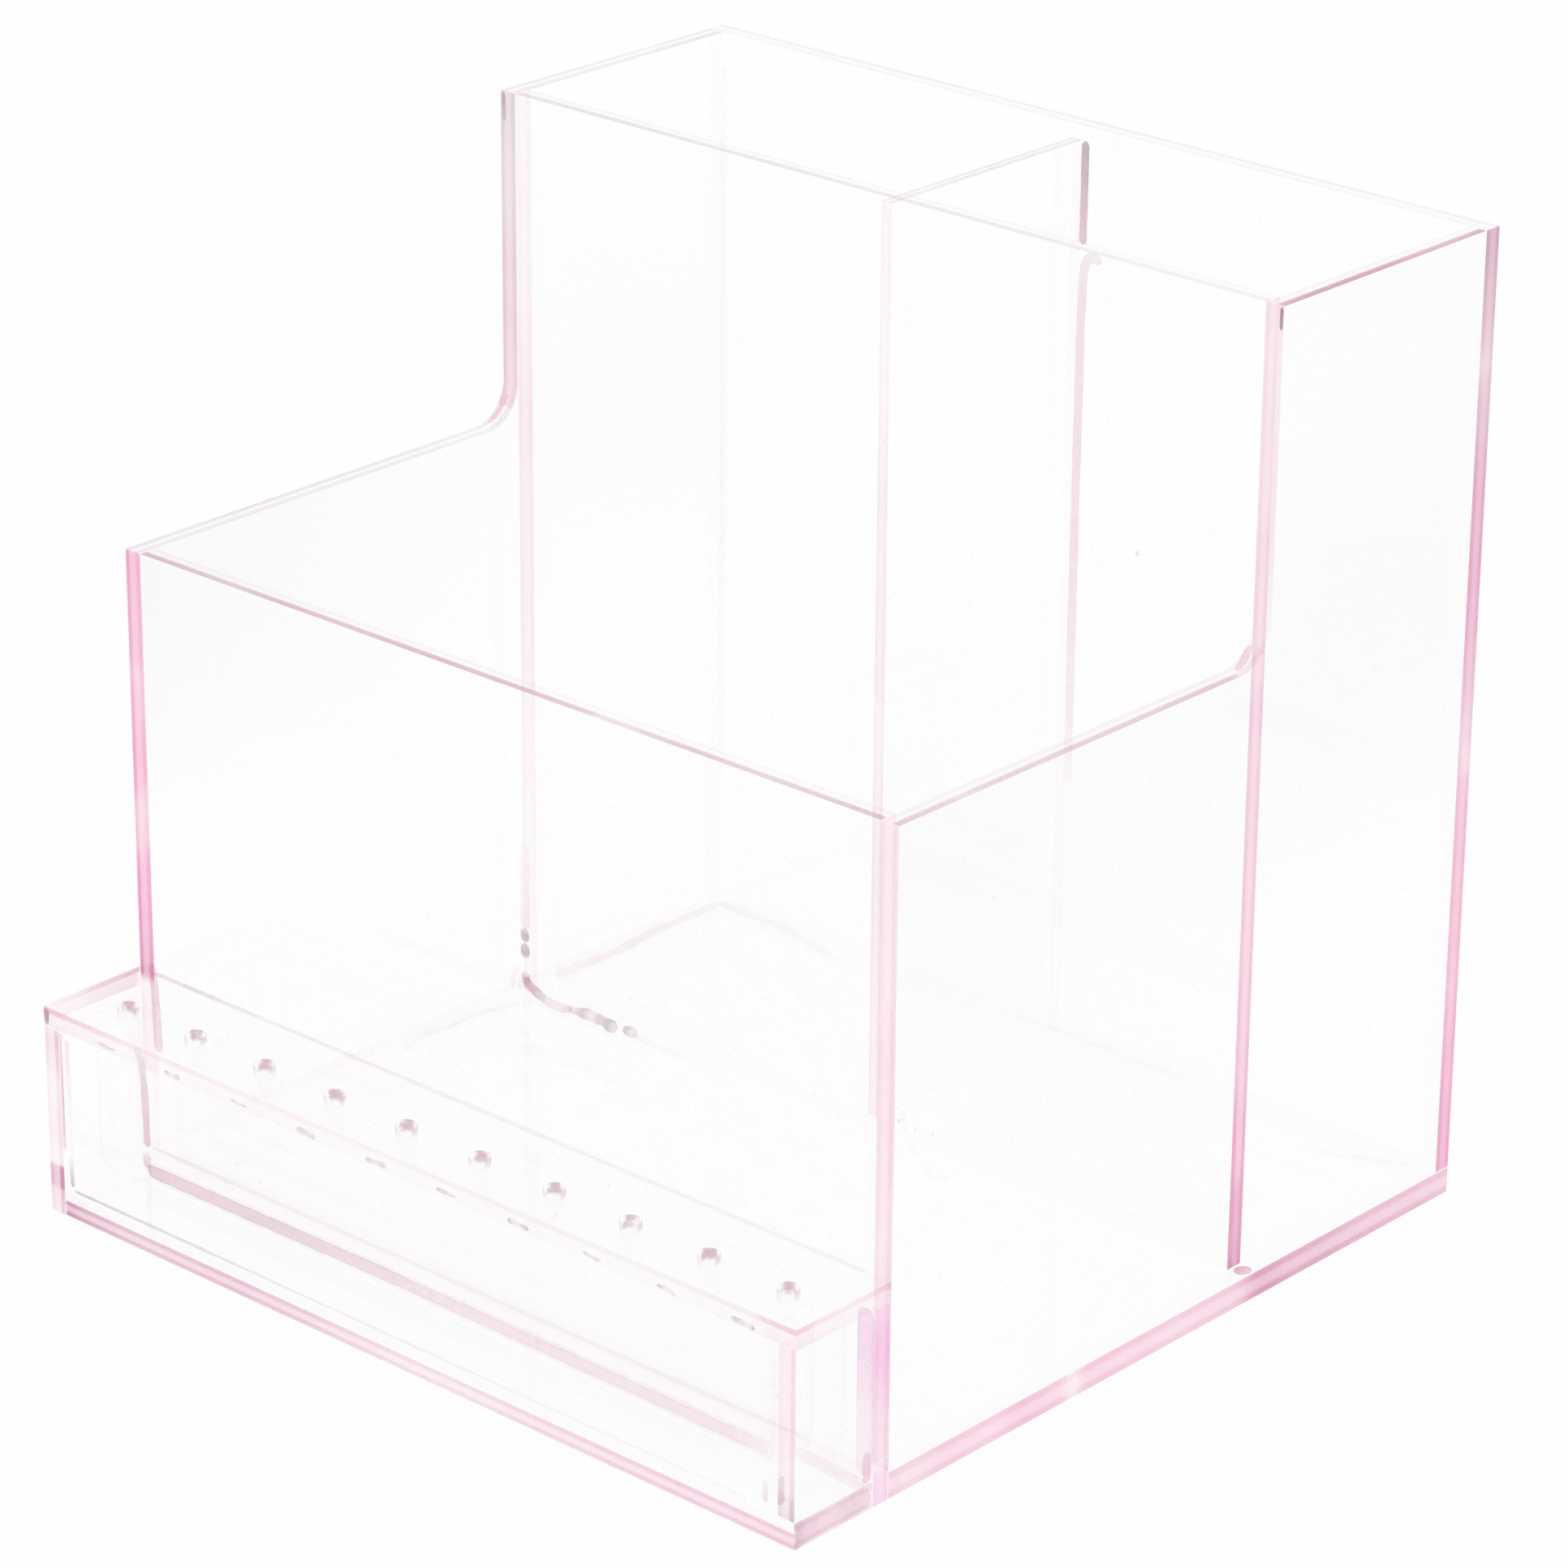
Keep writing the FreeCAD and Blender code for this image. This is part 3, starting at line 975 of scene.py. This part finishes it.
step_marks = [
    film(
        "middle_panel_right_foot", sideways(24, 4.06, 67.3, 69.7),
        "+z", 2.8, [(67.2, .8, .24), (69.8, .66, .24)], axis=X, thickness=.04, wobble=0),
    upright_run(
        "right_step_top_mark", [(69.6, 22.5, 142.8), (69.55, 22.5, 139.6)],
        0.5, [(139, .85, 1), (143, .95, 1)], thickness=.04, uneven=.5),
    upright_run(
        "left_step_top_mark", [(-69.3, 22.5, 142.8), (-69.2, 22.5, 138.6)],
        0.7, [(138, .4, .9), (143, .62, 1)], thickness=.04, uneven=.5),
    cement_ridge(
        "right_step_blob", [(68.6, 17, 94.25), (68.6, 18.6, 95.1), (68.6, 20.2, 96.9)],
        "+x", 1.3, [(16.5, .35, .05), (18.4, .55, .1), (20.6, .3, .1)], axis=Y, wobble=.05, broken=.2),
    cement_ridge(
        "left_step_stroke", [(-68.4, 17.9, 94.75), (-68.4, 20, 95.85), (-68.4, 21.7, 98.2)],
        "+x", 0.8, [(17.5, .3, 0), (20, .46, 0), (22, .4, .05)],
        axis=Y, thickness=.5, wobble=.02, uneven=.2, broken=.1),
]
print("marks at the step:", len(step_marks))

# %% [markdown]
# ## The rack's rear joint and its corners
#
# A film of cement fills the joint between the rack's base plate and its back wall. It lies in
# the joint itself, as thin as paper, and shows as a broad pink stripe. Other films lie in the
# rack's upright corners, on its feet and behind its top plate.

# %% Cement in the rack
SEAM_Y, SEAM_Z = -54, 1.95
HAZE_Y = SEAM_Y + 0.01
rack_marks = [
    film(
        "rack_rear_seam",
        [(-66.4, SEAM_Y, SEAM_Z), (-20, SEAM_Y, SEAM_Z + 0.3), (20, SEAM_Y, SEAM_Z),
         (52, SEAM_Y, SEAM_Z - 0.2)],
        "+y", 2, [(-67, .62, .5), (-60, .52, .24), (-42, .52, .34), (-25, .44, .12), (0, .3, .02),
                  (30, .27, 0), (46, .26, .02), (52, .1, .02)],
        axis=X, thickness=.02, wobble=.04, uneven=.08, broken=.12),
    film(
        "rack_rear_seam_haze",
        [(-66, HAZE_Y, SEAM_Z), (-20, HAZE_Y, SEAM_Z + 0.3), (20, HAZE_Y, SEAM_Z),
         (53, HAZE_Y, SEAM_Z - 0.2)],
        "+y", 3, [(-67, .1, .1), (0, .09, 0), (53, .1, 0)], axis=X, thickness=.004, wobble=.06, broken=.3),
    film(
        "rack_rear_seam_right", [(56.5, SEAM_Y, 3.2), (62, SEAM_Y, 3), (68.5, SEAM_Y, 2.6)],
        "+y", 2.2, [(56, .06, .1), (60, .17, 0), (68, .14, 0)], axis=X, thickness=.02, wobble=.06, broken=.2),
    film(
        "rack_rear_left_corner",
        [(-68.2, -54.1, 20.6), (-66.9, -54.1, 19), (-66.5, -54.1, 15), (-66.3, -54.1, 9),
         (-66.3, -54.1, 5.6)],
        "-y", 1.4, [(5.6, .6, .42), (9, .6, .36), (14, .5, .32), (18, .36, .75), (20.6, .14, .9)],
        thickness=.06, wobble=.04, uneven=.2),
    film(
        "rack_left_gap_film", upright(-66.74, -68.9, 28.3, 18, 10.4),
        "-y", 0.5, [(10.4, .45, .35), (15, .62, .4), (20, .62, .3), (25, .6, .12), (28.3, .5, .05)],
        thickness=.05, wobble=0),
    film(
        "rack_rear_left_foot", upright(-66.4, -54.1, 4.6, 2.2),
        "-y", 1.4, [(2.2, .6, .6), (4.6, .3, .6)], thickness=.06, wobble=.02, uneven=.5),
    film(
        "rack_front_left_corner", upright(-69.4, -68.95, 31.2, 28.7),
        "-y", 0.9, [(28.6, .6, 1), (30, .85, 1), (31.2, .8, 1)],
        thickness=.02, wobble=0, uneven=.5),
    film(
        "body_left_edge_behind_plate", [(-67.4, -51, 32.6), (-66.9, -51, 27), (-66.6, -51, 19.2)],
        "-y", 1.7, [(19.2, .52, .02), (22, .54, .1), (26, .52, .12), (29, .44, .1), (32.6, .3, .1)],
        broken=.15),
    film(
        "rack_right_foot_mark", upright(69.9, -55.2, 8.6, 4.1),
        "+x", 1.5, [(4.1, .5, .12), (7, .44, .16), (8.6, .34, .4)]),
    film(
        "rack_plate_left_film", backwards(-69.5, 30.1, -67.5, -60, -51.8),
        "+x", 2.1, [(-67.5, .08, 0), (-63, .1, 0), (-58, .18, 0), (-51.8, .22, 0)], axis=Y, broken=.12),
    film(
        "rack_right_rear_film", upright(68.56, -54.15, 28.4, 16, 4.2),
        "-y", 2.8, [(4.4, .14, 0), (12, .16, 0), (18, .28, 0), (23, .4, .03), (28.3, .34, 0)],
        wobble=0, uneven=0, colour=MAGENTA),
    film(
        "rack_right_foot_film", backwards(69.9, 2, -68.7, -61, -54.3),
        "+x", 3, [(-68.7, .42, .7), (-66, .34, .35), (-62, .3, .25), (-58, .32, .4), (-54.3, .26, .4)],
        axis=Y, uneven=.05, broken=.15),
    film(
        "rack_plate_rear_line", sideways(-51.3, 31.5, -66.8, -20, 30, 66),
        "+z", 0.9, [(-67, .46, .3), (-58, .38, .6), (-45, .22, .75), (0, .14, .75), (66, .12, .7)],
        axis=X, wobble=.05, uneven=.3, broken=.3),
]
print("marks in the rack:", len(rack_marks))

# %% [markdown]
# ## Marks on the drawer
#
# Three of the drawer's lower corners are painted with a short dark mark, and two fine lines show
# where its floor ends. A paler tint runs down its left front corner.

# %% Marks on the drawer
ON_DRAWER = dict(thickness=.12, uneven=.5, body="drawer")
front_y, right_x = drawer_low[Y], drawer_high[X]
skin_y, corner_y = front_y + 0.08, front_y + 0.55


def drawer_mark(name, points, on, width, stops, **look):
    return film(name, points, on, width, stops, **(ON_DRAWER | look))


drawer_marks = [
    drawer_mark(
        "drawer_corner_tint", upright(-65.5, skin_y, 27.6, 19, 10.6),
        "-y", 1, [(10.4, .02, .35), (17, .05, .3), (21, .14, .1), (24, .26, .05), (27.6, .3, 0)]),
    drawer_mark(
        "drawer_mark_front_left", [(-66, corner_y, 9.6), (-66, corner_y, 6.5), (-65.9, corner_y, 4.6)],
        "-y", 0.8, [(4.6, .62, 1), (6, .45, .9), (9.6, .08, .9)]),
    drawer_mark(
        "drawer_mark_front_right", upright(right_x - 1.45, front_y + 0.1, 8.4, 5),
        "-y", 1.1, [(5, .3, .6), (8.4, .16, .6)]),
    drawer_mark(
        "drawer_mark_right_front", upright(right_x - 0.1, -67.4, 8.8, 4.6),
        "+x", 1.2, [(4.6, .42, .85), (8.8, .3, .95)]),
    drawer_mark(
        "drawer_line_front", sideways(skin_y, 4.5, -65, 0, 62),
        "-y", 0.5, [(-65, .5, 1), (-45, .3, .95), (-10, .14, .85), (62, .05, .75)], axis=X),
    drawer_mark(
        "drawer_line_rear", sideways(-56.9, 8, -62, 0, 60),
        "+z", 0.9, [(-62, .16, 1), (-40, .1, .9), (0, .07, .9), (60, .09, .9)], axis=X, thickness=.3),
]
print("marks on the drawer:", len(drawer_marks))

# %% [markdown]
# ## Hole images in the front edge
#
# Through the polished front edge of the rack's plate each hole shows a second time, as a short
# grey dash. The see-through shader doesn't bend light, so each image is a thin sliver laid just
# inside the edge, and it drifts a little further from its hole along the row.

# %% Slivers in the plate's front edge
PLATE_LEFT, PLATE_WIDTH = -70, 140
HOLE_COUNT, HOLE_MARGIN = 10, 8.5
IMAGE_SHIFT, IMAGE_DRIFT = 4.4, 0.55
IMAGE_Y, IMAGE_Z = -68.96, 29.35
pitch = (PLATE_WIDTH - 2 * HOLE_MARGIN) / (HOLE_COUNT - 1)
dice = random.Random(7)
for hole in range(HOLE_COUNT):
    x = PLATE_LEFT + HOLE_MARGIN + pitch * hole + IMAGE_SHIFT - IMAGE_DRIFT * hole
    length = dice.uniform(3.3, 4.5)
    z = IMAGE_Z + dice.uniform(-0.12, 0.12)
    dark = dice.uniform(0.40, 0.60)
    left, right = x - length / 2, x + length / 2
    film(
        f"hole_image_{hole + 1}", [(left, IMAGE_Y, z + 0.12), (x, IMAGE_Y, z), (right, IMAGE_Y, z - 0.05)],
        "-y", 0.65, [(left, dark, 1), (x, dark * 0.5, 1), (right, dark, 1)],
        axis=X, thickness=.04, wobble=.22, uneven=.9, broken=.7)
print("hole images:", HOLE_COUNT)

# %% [markdown]
# ## A smear and some specks
#
# A faint smear of cement lies on the right side panel, and a few specks of cement and dust sit
# on the faces.

# %% Specks on the faces
film(
    "smear_right_face",
    [(69.9, -49.5, 54.8), (69.9, -48.2, 50.3), (69.9, -45, 45.6), (69.9, -43, 43.1), (69.9, -39.8, 42)],
    "+x", 0.8, [(42, .05, .2), (46, .08, .2), (50, .05, .2), (55, .09, .5)],
    thickness=.05, wobble=.25, uneven=.6, broken=.6)
SPECKS = {
    "speck_middle_panel": ((47.5, 22.4, 103.5), "-y", 0.9, 0.30),
    "speck_middle_panel_low": ((48.5, 22.4, 100.6), "-y", 0.4, 0.16),
    "speck_right_face_1": ((69.85, -50, 53.6), "+x", 0.5, 0.35),
    "speck_right_face_2": ((69.85, -46.8, 51.2), "+x", 0.4, 0.30),
    "speck_right_face_3": ((69.85, -43.4, 49.4), "+x", 0.5, 0.28),
}
for name, (spot, on, size, dark) in SPECKS.items():
    x, y, z = spot
    low, high = z - size / 2, z + size / 2
    film(name, upright(x, y, low, high), on, size, [(low, dark, .95), (high, dark, .95)],
         thickness=.06, wobble=.1, uneven=.5, broken=.3)
print("specks:", len(SPECKS))
